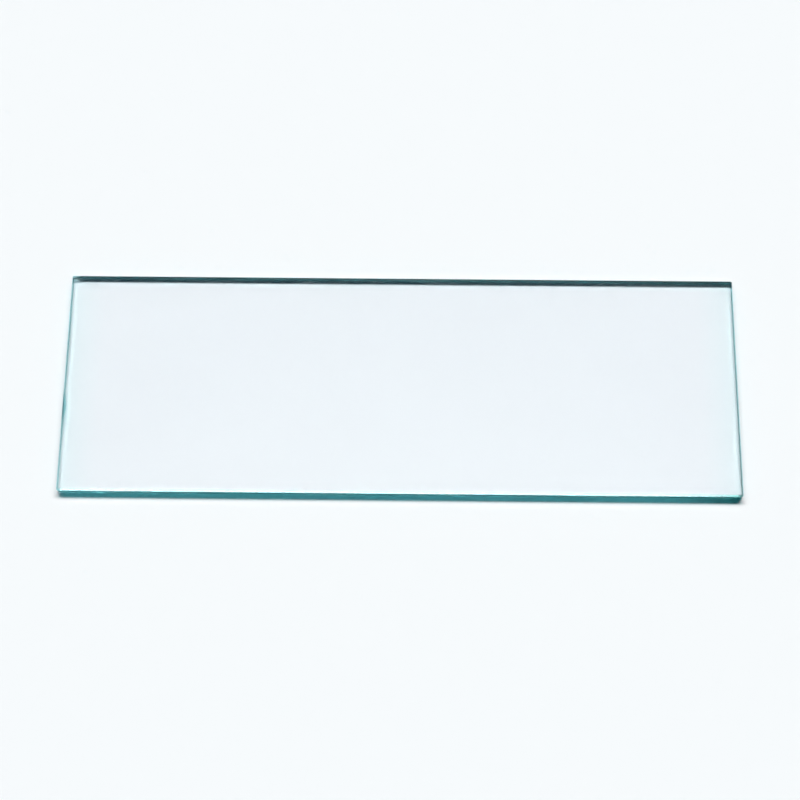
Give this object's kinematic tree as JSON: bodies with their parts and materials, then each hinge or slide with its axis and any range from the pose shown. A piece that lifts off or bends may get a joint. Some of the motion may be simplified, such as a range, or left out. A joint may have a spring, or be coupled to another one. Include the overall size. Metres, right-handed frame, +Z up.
{
  "type": "microscope slide",
  "caption": "Thin clear glass plate with square corners and clean cut edges, which carries a specimen flat on a microscope's stage.",
  "frame": {"origin": "middle of the face that the slide lies on", "axes": "+Z up through the glass, +X along the long edges, +Y along the short edges"},
  "size_m": [0.075, 0.025, 0.001],
  "materials": {
    "clear_glass": "bright fire-polished faces and smooth snapped edges, water-clear through the faces and blue-green through the edges"
  },
  "bodies": {
    "root": {"glass_slide": "clear_glass"}
  },
  "joints": []
}
